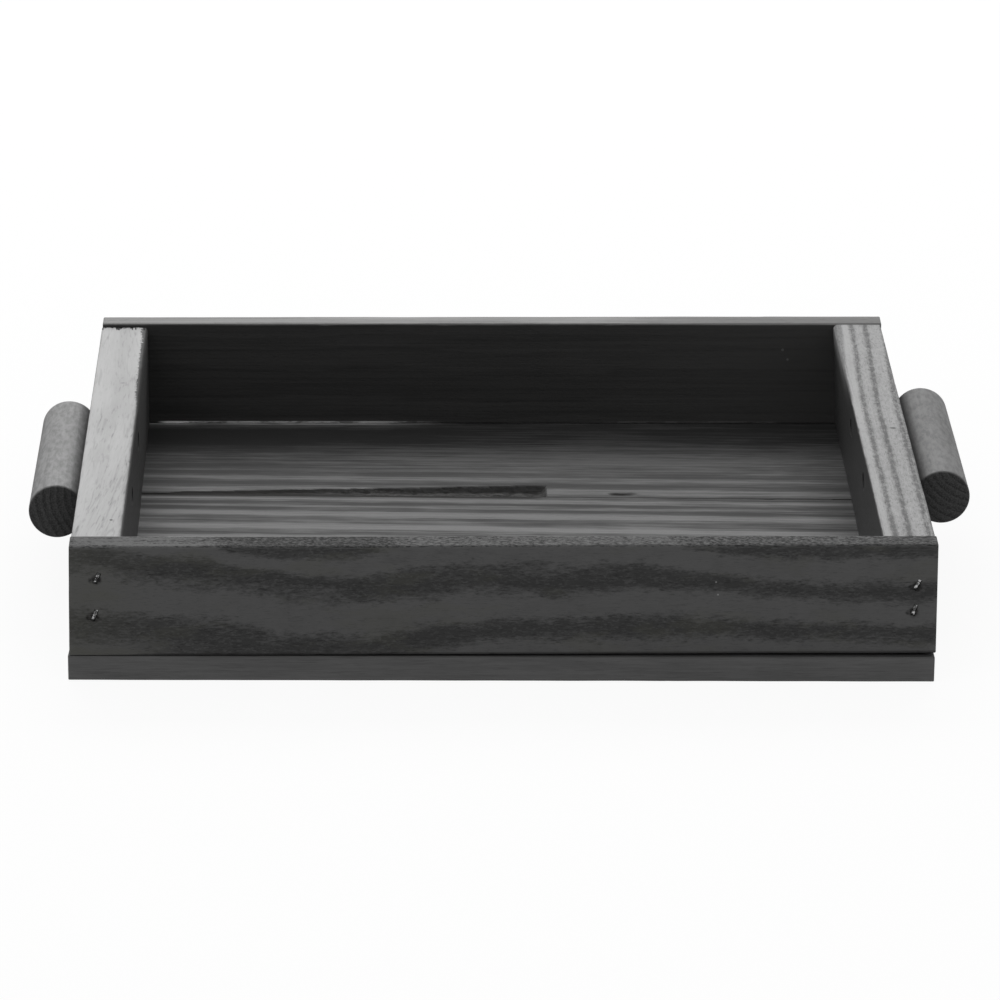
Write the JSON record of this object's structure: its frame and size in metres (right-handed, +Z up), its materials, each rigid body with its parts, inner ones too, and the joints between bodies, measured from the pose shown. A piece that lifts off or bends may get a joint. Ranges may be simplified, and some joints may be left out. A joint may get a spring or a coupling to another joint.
{
  "type": "serving tray",
  "caption": "Rectangular dark-stained wooden serving tray with low walls, thick end blocks and a round dowel handle on each end.",
  "frame": {"origin": "on the underside, in the middle of the tray's length and depth", "axes": "+X along the length from the left handle to the right handle, +Y from the front board to the back board, +Z up"},
  "size_m": [0.405, 0.3, 0.0611],
  "materials": {
    "board_wood": "charcoal stain, open grain, dull satin",
    "block_wood": "charcoal stain, open grain, satin",
    "plank_wood": "charcoal stain, open straight grain, satin",
    "handle_wood": "charcoal stain, fine grain, satin",
    "staple_wire": "bright galvanised wire",
    "screw_steel": "zinc-plated steel"
  },
  "bodies": {
    "root": {"back_board": "board_wood", "back_staple_left_lower": "staple_wire", "back_staple_left_upper": "staple_wire", "back_staple_right_lower": "staple_wire", "back_staple_right_upper": "staple_wire", "bottom_plank_front": "plank_wood", "bottom_plank_middle": "plank_wood", "bottom_plank_rear": "plank_wood", "bottom_staple_back_1": "staple_wire", "bottom_staple_back_2": "staple_wire", "bottom_staple_back_3": "staple_wire", "bottom_staple_front_1": "staple_wire", "bottom_staple_front_2": "staple_wire", "bottom_staple_front_3": "staple_wire", "bottom_staple_left_front_1": "staple_wire", "bottom_staple_left_front_2": "staple_wire", "bottom_staple_left_middle_1": "staple_wire", "bottom_staple_left_middle_2": "staple_wire", "bottom_staple_left_rear_1": "staple_wire", "bottom_staple_left_rear_2": "staple_wire", "bottom_staple_right_front_1": "staple_wire", "bottom_staple_right_front_2": "staple_wire", "bottom_staple_right_middle_1": "staple_wire", "bottom_staple_right_middle_2": "staple_wire", "bottom_staple_right_rear_1": "staple_wire", "bottom_staple_right_rear_2": "staple_wire", "front_board": "board_wood", "front_staple_left_lower": "staple_wire", "front_staple_left_upper": "staple_wire", "front_staple_right_lower": "staple_wire", "front_staple_right_upper": "staple_wire", "left_end_block": "block_wood", "left_handle": "handle_wood", "left_handle_screw_1": "screw_steel", "left_handle_screw_2": "screw_steel", "right_end_block": "block_wood", "right_handle": "handle_wood", "right_handle_screw_1": "screw_steel", "right_handle_screw_2": "screw_steel"}
  },
  "joints": []
}
